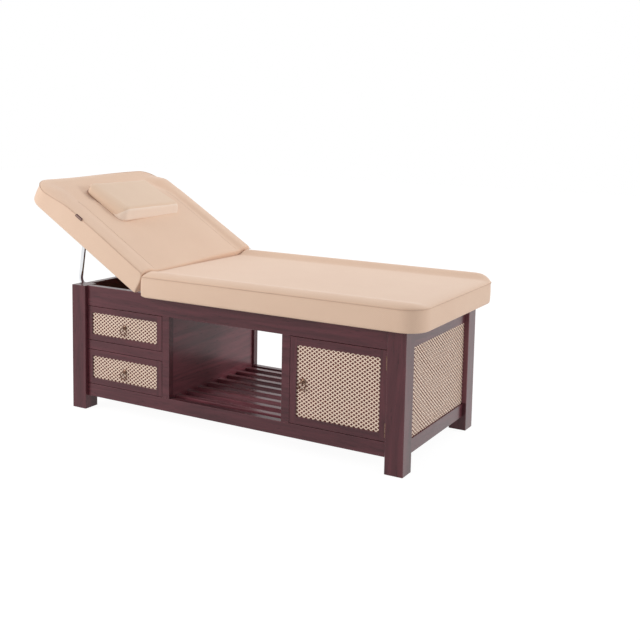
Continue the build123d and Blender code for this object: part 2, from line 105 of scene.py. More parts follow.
# ---------------------------------------------------------------- metals and nylon
# two colours, and for a metal two roughnesses and the scale of its clouds
BRONZE = ((0.110, 0.058, 0.042), (0.270, 0.165, 0.120), 0.25, 0.45, 160.0)
CHROME = ((0.72, 0.73, 0.75), (0.80, 0.81, 0.83), 0.05, 0.10, 6.0)
STEEL = ((0.50, 0.50, 0.51), (0.60, 0.60, 0.61), 0.22, 0.34, 20.0)
NYLON = ((0.012, 0.012, 0.013), (0.03, 0.03, 0.032))

# ---------------------------------------------------------------- cane
CANE_DARK = (0.95, 0.66, 0.50)
CANE_LIGHT = (1.0, 0.87, 0.73)
CANE_MARK = (0.60, 0.38, 0.25)
CANE_WIDE = 0.0205
CANE_HIGH = 0.0155
CANE_ANGLE = atan2(CANE_HIGH, CANE_WIDE)
CANE_SPACING = CANE_WIDE * sin(CANE_ANGLE)
CANE_STEP = hypot(CANE_WIDE, CANE_HIGH) / 2
CANE_INSET = 0.0008
STRAND_WIDTH = 0.0046
STRAND_THICK = 0.0008
STRAND_WAVE = 0.00035
# a distance that is longer than any panel
PAST_PANEL = 9.0

# ---------------------------------------------------------------- ring pulls
PLATE_THICK = 0.0040
# from the rim to the middle, as (share of the radius, share of the thickness)
PLATE_PROFILE = (
    (1.00, 0.00), (1.00, 0.35), (0.95, 0.55), (0.84, 0.55), (0.80, 0.40),
    (0.74, 0.45), (0.58, 0.85), (0.40, 1.10), (0.26, 1.25), (0.00, 1.30),
)
PLATE_SEGMENTS = 48
EYE_SEGMENTS = 24
BEAD_SEGMENTS = 8
BEADS = 24
BEAD_RADIUS = 0.0007
BEAD_SHOULDER = 0.0005
BEAD_CIRCLE = 0.895
BEAD_LEVEL = 0.55
EYE_HALF = 0.0040
EYE_FLAT = 0.0036
EYE_RADIUS = 0.0044
EYE_STRAIGHT = 0.8
NECK_FOOT = 0.0040
NECK_WAIST = 0.0030
NECK_TOP = 0.0034
NECK_ROOT = 0.8
NECK_WAIST_AT = 0.75
RING_POINTS = 64
RING_SIDES = 16
RING_MEAN = 0.90
RING_SWELL = 0.10

# ---------------------------------------------------------------- cloth, as (light, dark)
COVER_CLOTH = ((0.830, 0.605, 0.455), (0.740, 0.505, 0.370))
PILLOW_CLOTH = ((0.810, 0.610, 0.460), (0.730, 0.525, 0.385))
# painted light: a paler copy of the pillow cloth for its side that faces the foot end
GUSSET_PAINTED_LIGHT_CLOTH = ((0.920, 0.770, 0.650), (0.850, 0.690, 0.580))
WELT_CLOTH = ((0.70, 0.49, 0.36), (0.58, 0.39, 0.28))
# painted shade: dark cloth for the pillow's piping, standing for the shade where the pillow meets the backrest
CONTACT_SHADE_WELT_CLOTH = ((0.42, 0.24, 0.17), (0.33, 0.18, 0.12))
TAG_BORDER_CLOTH = ((0.085, 0.024, 0.022), (0.060, 0.016, 0.015))
TAG_FACE_CLOTH = ((0.38, 0.24, 0.20), (0.30, 0.18, 0.15))
COVER_RIB = 84.0
WELT_RIB = 200.0
TAG_RIB = 400.0

# ---------------------------------------------------------------- seat and backrest cushions
RAISED = 31.0
MITRE = radians(RAISED / 2 + 1.6)
GAP = 0.0015
COVER = 0.012
COVER_END = 0.002
FRAME_TOP = 0.0003
FRAME_CLEARANCE = 0.0002
CORNER = 0.090
BAND_BULGE = 0.003
BAND_TUCK = 0.0015
BAND_CURL = 0.011
# rings of the turned-under rim, as (height above the bottom, inset)
RIM = ((0.0045, 0.0025), (0.001, 0.006), (0.0, 0.009))
CENTRE_DROP = 0.021
CROWN = 0.0015
BOLSTER_CREST = 0.42
BOLSTER_FOOT = 1.08
SHOULDER_STEEP = 2.2
SHOULDER_ROUND = 0.55
SIDE_BLEND = 0.7
ARCH_FULL = 0.5
DIP_START = 0.64
DIP_END = 0.89
ROW_STEP = 0.012
ARC_ROWS = 10
COLUMNS = 68
BAND_RINGS = 8
CUSHION_SWELL = 0.004
PIPING_RADIUS = 0.0014
PIPING_OUT = 0.3
PIPING_SIDES = 8

# bolster: width of a side's bolster. rise, lift: width of the rounded edge and extra height of the
# bolster, as (near side, far side). fade: where the bolsters run out, from the free end. seam_drop,
# far_seam: the piping below the top, and how much higher it is on the far side. arch, dip: its rise
# along the sides and its fall towards the free end. hang: the band below the solid. draw_in: the
# free end inside the solid.
SEAT_SHAPE = {
    "bolster": 0.094, "rise": (0.068, 0.052), "lift": (-0.012, 0.001), "fade": (-0.03, 0.055),
    "seam_drop": 0.032, "far_seam": 0.0, "arch": 0.0, "dip": 0.0, "hang": 0.004, "draw_in": 0.0,
}
BACK_SHAPE = {
    "bolster": 0.112, "rise": (0.050, 0.026), "lift": (-0.008, 0.012), "fade": (0.025, 0.135),
    "seam_drop": 0.018, "far_seam": 0.016, "arch": 0.004, "dip": 0.018, "hang": 0.001, "draw_in": 0.006,
}

# ---------------------------------------------------------------- stitching and tag of the backrest
STITCH_POINTS = 40
STITCH_START = 0.016
STITCH_END = 0.52
STITCH_SHARE = 0.88
STITCH_RADIUS = 0.0007
STITCH_SIDES = 6
ABOVE_PAD = 0.2
TAG_FROM_HINGE = 0.388
TAG_LENGTH = 0.040
TAG_HEIGHT = 0.011
TAG_BORDER = 0.0028
TAG_CLEARANCE = 0.0006
TAG_FACE_OUT = 0.0004
TAG_SWELL = 0.0006
TAG_FLATNESS = 0.3
TAG_STEPS = 8

# ---------------------------------------------------------------- pillow
PILLOW_SLICES = 60
PILLOW_SKIN = 0.001
PILLOW_SHIFT = 0.004
PILLOW_THIN = 0.68
PILLOW_EDGE = 0.018
PILLOW_CORNER = 0.032
PILLOW_ROLL = 0.046
PILLOW_SLIM = 0.82
PILLOW_LEAN = 0.012
PILLOW_SWELL = 0.0035
LOAF_ARC = 5
LOAF_FLAT = 16
LOAF_UPRIGHT = 3
LOAF_EDGE_SHARE = 0.5
WELT_ARC = 8
WELT_HEIGHT = 0.0035

# ---------------------------------------------------------------- cloth simulation
CLOTH_FRAMES = 20
CLOTH_PRESSURE = 4
FREE_WEIGHT = 0.02


# ================================================================ node helpers
def shader(name):
    """New material with a Principled BSDF: (material, tree, bsdf)."""
    made = bpy.data.materials.new(name)
    made.use_nodes = True
    tree = made.node_tree
    return made, tree, tree.nodes["Principled BSDF"]


def feed(tree, socket, value):
    """Link an output socket to an input, or set the input's value."""
    if isinstance(value, bpy.types.NodeSocket):
        tree.links.new(value, socket)
    else:
        socket.default_value = value


def add(tree, kind, inputs=None, **settings):
    """New node; an input may be a value or the output socket that feeds it."""
    made = tree.nodes.new(kind)
    for key, value in settings.items():
        setattr(made, key, value)
    for key, value in (inputs or {}).items():
        feed(tree, made.inputs[key], value)
    return made


def maths(tree, operation, a, b=0.0, c=0.0):
    """Output of one Math node."""
    return add(tree, "ShaderNodeMath", {0: a, 1: b, 2: c}, operation=operation).outputs[0]


def ramp(tree, factor, low, high, start=0.0, end=1.0):
    """Output of a two-colour ramp."""
    made = add(tree, "ShaderNodeValToRGB", {"Fac": factor})
    first, last = made.color_ramp.elements
    first.position, first.color = start, (*low, 1)
    last.position, last.color = end, (*high, 1)
    return made.outputs["Color"]


def spread(tree, value, low, high):
    """A value from 0 to 1, spread from low to high."""
    made = add(tree, "ShaderNodeMapRange", {"Value": value, "To Min": low, "To Max": high})
    return made.outputs["Result"]


def mix(tree, factor, a, b, kind="RGBA"):
    """Output of a mix of two colours, or of two vectors that come from sockets."""
    made = add(tree, "ShaderNodeMix", data_type=kind)
    sockets = [socket for socket in made.inputs if socket.enabled]
    for socket, value in zip(sockets, (factor, a, b)):
        feed(tree, socket, (*value, 1) if isinstance(value, tuple) else value)
    return next(socket for socket in made.outputs if socket.enabled)


def coordinates(tree):
    """Object coordinates, which are row-frame metres."""
    return add(tree, "ShaderNodeTexCoord").outputs["Object"]


def split(tree, vector):
    """Outputs X, Y and Z of a vector."""
    return add(tree, "ShaderNodeSeparateXYZ", {"Vector": vector}).outputs


def scaled(tree, vector, scale):
    """Coordinates stretched by a scale for each axis."""
    return add(tree, "ShaderNodeMapping", {"Vector": vector, "Scale": scale}).outputs["Vector"]


def noise(tree, vector, scale, detail=4.0, roughness=0.55, distortion=0.0):
    """Factor of a noise texture."""
    values = {
        "Vector": vector, "Scale": scale, "Detail": detail,
        "Roughness": roughness, "Distortion": distortion,
    }
    return add(tree, "ShaderNodeTexNoise", values).outputs["Fac"]


def bump(tree, bsdf, height, strength, distance):
    """Feed a height into the shader's normal."""
    made = add(tree, "ShaderNodeBump", {"Height": height, "Strength": strength, "Distance": distance})
    tree.links.new(made.outputs["Normal"], bsdf.inputs["Normal"])


def edge_wear_and_highlight(tree, radius):
    """Near 1 on sharp outer edges, 0 on flats; carries wear and a painted highlight."""
    bevel = add(tree, "ShaderNodeBevel", {"Radius": radius}, samples=4)
    geometry = add(tree, "ShaderNodeNewGeometry")
    pair = {0: bevel.outputs["Normal"], 1: geometry.outputs["Normal"]}
    dot = add(tree, "ShaderNodeVectorMath", pair, operation="DOT_PRODUCT").outputs["Value"]
    return maths(tree, "MULTIPLY", maths(tree, "SUBTRACT", 1.0, dot), 5.0)


# ================================================================ materials
def facing_up(tree):
    """1 on faces that look up at rest, 0 elsewhere."""
    normal = add(tree, "ShaderNodeTexCoord").outputs["Normal"]
    return maths(tree, "GREATER_THAN", split(tree, normal)["Z"], LOOKS_UP)


def facing_in(tree):
    """1 on faces higher than the legs' free ends that look in across the carcass, 0 elsewhere: where painted light
    goes on the shaded inside.
    """
    normal = add(tree, "ShaderNodeTexCoord").outputs["Normal"]
    place = split(tree, coordinates(tree))
    inward = maths(tree, "MULTIPLY", split(tree, normal)["Y"], place["Y"])
    above = maths(tree, "GREATER_THAN", place["Z"], LEG_TOP)
    return maths(tree, "MULTIPLY", maths(tree, "LESS_THAN", inward, LOOKS_IN), above)


def wood_finish(tree, bsdf, grain, lift=1.0):
    """Satin mahogany stain over fine straight grain with open pores; grain is a stretched vector. A lift above 1
    is painted light: a paler, greyer copy of the stain for parts that sit in shade.
    """
    figure = noise(tree, grain, 1.0, detail=7.0, roughness=0.62, distortion=0.9)
    painted_grey = WOOD_PAINTED_LIGHT_GREY * (lift - 1)
    dark, light = ([lift * value + painted_grey for value in tone] for tone in (WOOD_DARK, WOOD_LIGHT))
    colour = ramp(tree, figure, dark, light, 0.32, 0.70)
    pores = noise(tree, grain, 9.0, detail=3.0, roughness=0.7)
    pore_mask = maths(tree, "GREATER_THAN", pores, PORE_LEVEL)
    colour = mix(tree, maths(tree, "MULTIPLY", pore_mask, PORE_SHARE), colour, WOOD_PORE)
    # edges paler: wear and a painted highlight
    colour = mix(tree, edge_wear_and_highlight(tree, EDGE_WEAR_AND_HIGHLIGHT_RADIUS), colour, WOOD_EDGE_WEAR_AND_HIGHLIGHT)
    # painted light on the inward faces that sit in shade
    colour = mix(tree, maths(tree, "MULTIPLY", facing_in(tree), INSIDE_PAINTED_LIGHT_SHARE), colour, WOOD_INSIDE_PAINTED_LIGHT)
    tree.links.new(colour, bsdf.inputs["Base Color"])
    smear = noise(tree, coordinates(tree), 9.0, detail=3.0)
    tree.links.new(spread(tree, smear, 0.30, 0.46), bsdf.inputs["Roughness"])
    tree.links.new(spread(tree, facing_up(tree), WOOD_COAT, WORN_COAT), bsdf.inputs["Coat Weight"])
    bsdf.inputs["Specular IOR Level"].default_value = 0.12
    bsdf.inputs["Coat IOR"].default_value = 1.30
    bsdf.inputs["Coat Roughness"].default_value = 0.21
    bump(tree, bsdf, pores, 0.22, 0.0006)


def grain_scale(axis):
    """Mapping scale for grain that runs along an axis."""
    return [GRAIN_ALONG if i == axis else GRAIN_ACROSS for i in range(3)]


def straight_wood(name, axis, lift=1.0):
    """Wood whose grain runs along one axis; a lift above 1 paints light by making the stain paler."""
    made, tree, bsdf = shader(name)
    wood_finish(tree, bsdf, scaled(tree, coordinates(tree), grain_scale(axis)), lift)
    return made


def joined_wood(name, node, member):
    """Wood of a panelled front: upright grain in the stiles, level grain in the rails between them."""
    low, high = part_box(node)
    made, tree, bsdf = shader(name)
    place = coordinates(tree)
    x = split(tree, place)["X"]
    from_middle = maths(tree, "ABSOLUTE", maths(tree, "SUBTRACT", x, (low[0] + high[0]) / 2))
    joint_at = (high[0] - low[0]) / 2 - member
    stile = maths(tree, "GREATER_THAN", from_middle, joint_at)
    level = scaled(tree, place, grain_scale(0))
    upright = scaled(tree, place, grain_scale(2))
    wood_finish(tree, bsdf, mix(tree, stile, level, upright, kind="VECTOR"))
    from_joint = maths(tree, "ABSOLUTE", maths(tree, "SUBTRACT", from_middle, joint_at))
    line = maths(tree, "MULTIPLY", maths(tree, "LESS_THAN", from_joint, JOINT_LINE), JOINT_SHARE)
    colour = bsdf.inputs["Base Color"].links[0].from_socket
    tree.links.new(mix(tree, line, colour, WOOD_PORE), bsdf.inputs["Base Color"])
    return made


def plain_timber(name, low, high, axis, rough):
    """Unfinished or matt timber with a simple grain."""
    made, tree, bsdf = shader(name)
    grain = scaled(tree, coordinates(tree), grain_scale(axis))
    figure = noise(tree, grain, 1.0, detail=6.0, roughness=0.6, distortion=1.4)
    tree.links.new(ramp(tree, figure, low, high, 0.3, 0.7), bsdf.inputs["Base Color"])
    bsdf.inputs["Roughness"].default_value = rough
    bump(tree, bsdf, figure, 0.15, 0.0006)
    return made


def cane_finish():
    """Glossy cane skin: cream with fine streaks and a few darker growth marks."""
    made, tree, bsdf = shader("cane_weave")
    place = coordinates(tree)
    streak = noise(tree, place, 900.0, detail=2.0)
    mark = noise(tree, place, 60.0, detail=3.0)
    colour = ramp(tree, streak, CANE_DARK, CANE_LIGHT, 0.3, 0.7)
    marked = ramp(tree, mark, (0, 0, 0), (0.5, 0.5, 0.5), 0.58, 0.75)
    tree.links.new(mix(tree, marked, colour, CANE_MARK), bsdf.inputs["Base Color"])
    bsdf.inputs["Roughness"].default_value = 0.38
    bump(tree, bsdf, streak, 0.2, 0.0003)
    return made


def fabric(name, light, dark, rib):
    """Fine diagonal rib cloth with a soft sheen."""
    made, tree, bsdf = shader(name)
    place = coordinates(tree)
    wave = add(
        tree, "ShaderNodeTexWave",
        {"Vector": place, "Scale": rib, "Distortion": 0.6, "Detail": 1.0, "Detail Scale": 3.0},
        wave_type="BANDS", bands_direction="DIAGONAL",
    ).outputs["Fac"]
    thread = noise(tree, place, 1500.0, detail=2.0)
    weft = maths(tree, "ADD", maths(tree, "MULTIPLY", wave, 0.7), maths(tree, "MULTIPLY", thread, 0.3))
    cloud = noise(tree, place, 5.0, detail=3.0)
    shade = maths(tree, "ADD", maths(tree, "MULTIPLY", weft, 0.55), maths(tree, "MULTIPLY", cloud, 0.45))
    tree.links.new(ramp(tree, shade, dark, light, 0.1, 0.8), bsdf.inputs["Base Color"])
    bsdf.inputs["Roughness"].default_value = 0.82
    bsdf.inputs["Sheen Weight"].default_value = 0.25
    bsdf.inputs["Sheen Roughness"].default_value = 0.45
    bump(tree, bsdf, weft, 0.35, 0.0008)
    return made


def metal(name, low, high, rough_low, rough_high, scale):
    """Metal with cloudy wear in its colour and its polish."""
    made, tree, bsdf = shader(name)
    cloud = noise(tree, coordinates(tree), scale)
    tree.links.new(ramp(tree, cloud, low, high, 0.35, 0.65), bsdf.inputs["Base Color"])
    tree.links.new(spread(tree, cloud, rough_low, rough_high), bsdf.inputs["Roughness"])
    bsdf.inputs["Metallic"].default_value = 1.0
    bump(tree, bsdf, noise(tree, coordinates(tree), 700.0, detail=3.0), 0.05, 0.0002)
    return made


def nylon_finish():
    """Moulded dark nylon."""
    made, tree, bsdf = shader("nylon_glide")
    grain = noise(tree, coordinates(tree), 900.0, detail=2.0)
    tree.links.new(ramp(tree, grain, *NYLON), bsdf.inputs["Base Color"])
    bsdf.inputs["Roughness"].default_value = 0.55
    bump(tree, bsdf, grain, 0.1, 0.0002)
    return made


def longest_axis(node):
    """Axis along which a node is longest."""
    low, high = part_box(node)
    spans = [high[i] - low[i] for i in range(3)]
    return spans.index(max(spans))


def paint_nodes():
    """Give every CAD node the finish of its material slot."""
    woods = [straight_wood("mahogany_" + letter, i) for i, letter in enumerate("xyz")]
    # paler copies of the stain that paint light on the inner parts in shade
    inner = [straight_wood("mahogany_inner_painted_light_" + letter, i, INNER_PAINTED_LIGHT) for i, letter in enumerate("xyz")]
    pines = [plain_timber("pine_" + letter, PINE_DARK, PINE_LIGHT, i, 0.6) for i, letter in enumerate("xyz")]
    single = {
        "cane": cane,
        "backing": plain_timber("dark_backing", BACKING_DARK, BACKING_LIGHT, 0, 0.8),
        "upholstery": cloth,
        "bronze": bronze,
        "chrome": metal("polished_chrome", *CHROME),
        "steel": metal("plated_steel", *STEEL),
        "nylon": nylon_finish(),
    }
    for part in frame["record"]["subparts"]:
        name, slot = part["node"], part["material_slot"]
        if name in FRONT_MEMBER:
            finish = joined_wood(name + "_wood", name, FRONT_MEMBER[name])
        elif slot == "mahogany":
            finish = (inner if name in INNER_PAINTED_LIGHT_PARTS else woods)[longest_axis(name)]
        elif slot == "pine":
            finish = pines[longest_axis(name)]
        else:
            finish = single[slot]
        for place in nodes[name].material_slots:
            place.material = finish


# ================================================================ mesh helpers
def mesh_object(name, points, faces, finish, smooth=True):
    """Mesh object from plain lists."""
    data = bpy.data.meshes.new(name)
    data.from_pydata(points, [], faces)
    data.materials.append(finish)
    for face in data.polygons:
        face.use_smooth = smooth
    data.update()
    made = bpy.data.objects.new(name, data)
    bpy.context.scene.collection.objects.link(made)
    return made


def sleeve(rings, around, closed=False):
    """Faces that join rings of points in turn, with flat ends unless the last ring joins the first."""
    faces = []
    for i in range(rings if closed else rings - 1):
        a, b = i * around, (i + 1) % rings * around
        faces += [(a + k, a + (k + 1) % around, b + (k + 1) % around, b + k) for k in range(around)]
    if not closed:
        faces.append(tuple(range(around))[::-1])
        faces.append(tuple(range((rings - 1) * around, rings * around)))
    return faces


def tube(points, radius, sides, closed=False):
    """Verts and faces of a tube along points; radius is a number or a list."""
    count = len(points)
    verts = []
    for i, point in enumerate(points):
        before = points[i - 1] if i or closed else point
        after = points[(i + 1) % count] if i < count - 1 or closed else point
        along = (after - before).normalized()
        side = along.cross(Vector((0, 0, 1)))
        if side.length < 0.1:
            side = along.cross(Vector((0, 1, 0)))
        side.normalize()
        up = side.cross(along)
        size = radius[i] if isinstance(radius, list) else radius
        for k in range(sides):
            turn = 2 * pi * k / sides
            verts.append(point + (side * cos(turn) + up * sin(turn)) * size)
    return verts, sleeve(count, sides, closed)


def lathe(profile, segments):
    """Verts and faces turned from (radius, height) pairs about Z, closed where the radius is 0."""
    verts, faces, rings = [], [], []
    for radius, height in profile:
        if radius == 0:
            rings.append([len(verts)])
            verts.append(Vector((0, 0, height)))
            continue
        rings.append(list(range(len(verts), len(verts) + segments)))
        for k in range(segments):
            turn = 2 * pi * k / segments
            verts.append(Vector((radius * cos(turn), radius * sin(turn), height)))
    for low, high in zip(rings, rings[1:]):
        for k in range(segments):
            n = (k + 1) % segments
            quad = [low[k % len(low)], low[n % len(low)], high[n % len(high)], high[k % len(high)]]
            faces.append(tuple(dict.fromkeys(quad)))
    return verts, faces


def joined(parts):
    """One list of verts and faces from several."""
    verts, faces = [], []
    for more_verts, more_faces in parts:
        start = len(verts)
        verts += more_verts
        faces += [tuple(start + i for i in face) for face in more_faces]
    return verts, faces


def moved(part, matrix):
    """Verts and faces with the verts moved."""
    verts, faces = part
    return [matrix @ v for v in verts], faces


def rounded(made):
    """One level of subdivision, on screen and in the render."""
    modifier = made.modifiers.new("Round", "SUBSURF")
    modifier.levels = 1
    modifier.render_levels = 1


# ================================================================ woven cane
def strand(start, along, length, phase, sign):
    """One flat strand that waves over and under; start and along are (u, v) in the panel's plane."""
    steps = max(2, int(2 * length / CANE_STEP))
    across = Vector((-along[1], along[0]))
    half = STRAND_WIDTH / 2
    thick = STRAND_THICK / 2
    section = (
        (-half, 0), (-half / 2, thick), (half / 2, thick),
        (half, 0), (half / 2, -thick), (-half / 2, -thick),
    )
    verts = []
    for i in range(steps + 1):
        travel = length * i / steps
        lift = sign * STRAND_WAVE * cos(pi * (phase + travel / CANE_STEP))
        centre = start + along * travel
        for shift, rise in section:
            spot = centre + across * shift
            verts.append(Vector((spot.x, spot.y, lift + rise)))
    return verts, sleeve(steps + 1, len(section))


def clipped(point, along, half_u, half_v):
    """Where an endless line enters and leaves the panel, as distances, or None."""
    low, high = -PAST_PANEL, PAST_PANEL
    for spot, rate, limit in ((point.x, along.x, half_u), (point.y, along.y, half_v)):
        a, b = (-limit - spot) / rate, (limit - spot) / rate
        low, high = max(low, min(a, b)), min(high, max(a, b))
    return (low, high) if high - low > CANE_STEP / 2 else None


def weave(width, height):
    """Two families of strands that pass over and under each other."""
    parts = []
    half_u, half_v = width / 2 - CANE_INSET, height / 2 - CANE_INSET
    reach = int(hypot(width, height) / CANE_SPACING / 2) + 1
    for sign in (1, -1):
        along = Vector((cos(CANE_ANGLE), sign * sin(CANE_ANGLE)))
        across = Vector((-along.y, along.x))
        crossed = Vector((sin(CANE_ANGLE), sign * cos(CANE_ANGLE)))
        for i in range(-reach, reach + 1):
            point = across * (i * CANE_SPACING)
            span = clipped(point, along, half_u, half_v)
            if span is None:
                continue
            start = point + along * span[0]
            # number of the crossing strand at the start, counted along this one
            crossing = start.dot(crossed) / CANE_SPACING
            parts.append(strand(start, along, span[1] - span[0], i + crossing, sign))
    return joined(parts)


def node_body(node):
    """Body that carries a CAD node."""
    bodies = frame["record"]["behaviour"]["bodies"]
    return next(body for body, held in bodies.items() if node in held)


def cane_panel(node, normal):
    """Replace one flat cane node by woven strands; normal points out of the furniture."""
    low, high = (Vector(corner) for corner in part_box(node))
    middle = (low + high) / 2
    level = Vector((0, 0, 1)).cross(normal)
    width = abs((high - low).dot(level))
    turn = Matrix((level, Vector((0, 0, 1)), normal)).transposed().to_4x4()
    verts, faces = moved(weave(width, high.z - low.z), Matrix.Translation(middle) @ turn)
    made = mesh_object(node + "_weave", verts, faces, cane)
    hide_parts(node)
    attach(made, node_body(node))


def make_cane():
    """All five cane panels."""
    for node in ("drawer_upper_cane", "drawer_lower_cane", "door_cane"):
        cane_panel(node, Vector((0, -1, 0)))
    cane_panel("head_cane", Vector((-1, 0, 0)))
    cane_panel("foot_cane", Vector((1, 0, 0)))


# ================================================================ ring pulls
def rosette_shape(radius, eye_out):
    """Turned plate with a beaded rim, and the neck and eye that hold the ring, out along Z."""
    plate = [(radius * share, PLATE_THICK * rise) for share, rise in PLATE_PROFILE]
    parts = [lathe([(0, 0)] + plate, PLATE_SEGMENTS)]
    bead = [(0, -BEAD_RADIUS), (BEAD_RADIUS, 0), (BEAD_SHOULDER, BEAD_SHOULDER), (0, BEAD_RADIUS)]
    circle = radius * BEAD_CIRCLE
    for k in range(BEADS):
        turn = 2 * pi * k / BEADS
        spot = Matrix.Translation((circle * cos(turn), circle * sin(turn), PLATE_THICK * BEAD_LEVEL))
        parts.append(moved(lathe(bead, BEAD_SEGMENTS), spot))
    straight = EYE_HALF * EYE_STRAIGHT
    eye = [
        (0, -EYE_HALF), (EYE_FLAT, -EYE_HALF), (EYE_RADIUS, -straight),
        (EYE_RADIUS, straight), (EYE_FLAT, EYE_HALF), (0, EYE_HALF),
    ]
    across = Matrix.Translation((0, 0, eye_out)) @ Matrix.Rotation(pi / 2, 4, "Y")
    parts.append(moved(lathe(eye, EYE_SEGMENTS), across))
    root = PLATE_THICK * NECK_ROOT
    waist = eye_out * NECK_WAIST_AT
    neck = [(0, root), (NECK_FOOT, root), (NECK_WAIST, waist), (NECK_TOP, eye_out), (0, eye_out)]
    parts.append(lathe(neck, EYE_SEGMENTS))
    return joined(parts)


def ring_shape(middle, loop, wire):
    """Hanging ring that is heavier at its foot."""
    points, sizes = [], []
    for k in range(RING_POINTS):
        turn = 2 * pi * k / RING_POINTS
        points.append(middle + Vector((loop * sin(turn), 0, loop * cos(turn))))
        sizes.append(wire * (RING_MEAN - RING_SWELL * cos(turn)))
    return tube(points, sizes, RING_SIDES, closed=True)


def make_pull(name):
    """Rosette and ring of one pull."""
    low, high = (Vector(corner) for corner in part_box(name + "_rosette"))
    ring_low, ring_high = (Vector(corner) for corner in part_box(name + "_ring"))
    ring_middle = (ring_low + ring_high) / 2
    middle = Vector(((low.x + high.x) / 2, high.y, (low.z + high.z) / 2))
    out = Matrix.Translation(middle) @ Matrix.Rotation(pi / 2, 4, "X")
    shape = rosette_shape((high.z - low.z) / 2, high.y - ring_middle.y)
    rosette = mesh_object(name + "_rosette_turned", *moved(shape, out), bronze)
    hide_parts(name + "_rosette")
    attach(rosette, name)
    wire = (ring_high.y - ring_low.y) / 2
    loop = (ring_high.z - ring_low.z) / 2 - wire
    ring = mesh_object(name + "_ring_cast", *ring_shape(ring_middle, loop, wire), bronze)
    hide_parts(name + "_ring")
    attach(ring, name + "_ring")


# ================================================================ seat and backrest cushions
def joint(name):
    """Joint of the record by name."""
    return next(j for j in frame["joints"] if j["name"] == name)


def smoothstep(low, high, value):
    """0 below low, 1 above high, smooth between."""
    t = min(max((value - low) / (high - low), 0.0), 1.0)
    return t * t * (3 - 2 * t)


def local_span(node, place):
    """Lowest and highest corner of a node in the frame of a matrix."""
    back = place.inverted()
    points = [back @ v.co for v in nodes[node].data.vertices]
    return [[pick(p[i] for p in points) for i in range(3)] for pick in (min, max)]


class Shell:
    """Closed cover as points and faces, with a hold for each point: 1 stays put, 0 is free cloth."""

    def __init__(self):
        self.points, self.faces, self.hold = [], [], []

    def add(self, point, free):
        """Add a point and return its number."""
        self.points.append(point)
        self.hold.append(0.0 if free else 1.0)
        return len(self.points) - 1

    def bridge(self, outer, inner):
        """Quads between two loops of point numbers."""
        for k in range(len(outer)):
            n = (k + 1) % len(outer)
            self.faces.append((inner[k], inner[n], outer[n], outer[k]))

    def fill(self, rows, upward):
        """Quads over rows of point numbers, facing up or down."""
        for low, high in zip(rows, rows[1:]):
            for j in range(len(low) - 1):
                quad = (low[j], high[j], high[j + 1], low[j + 1])
                self.faces.append(quad[::-1] if upward else quad)


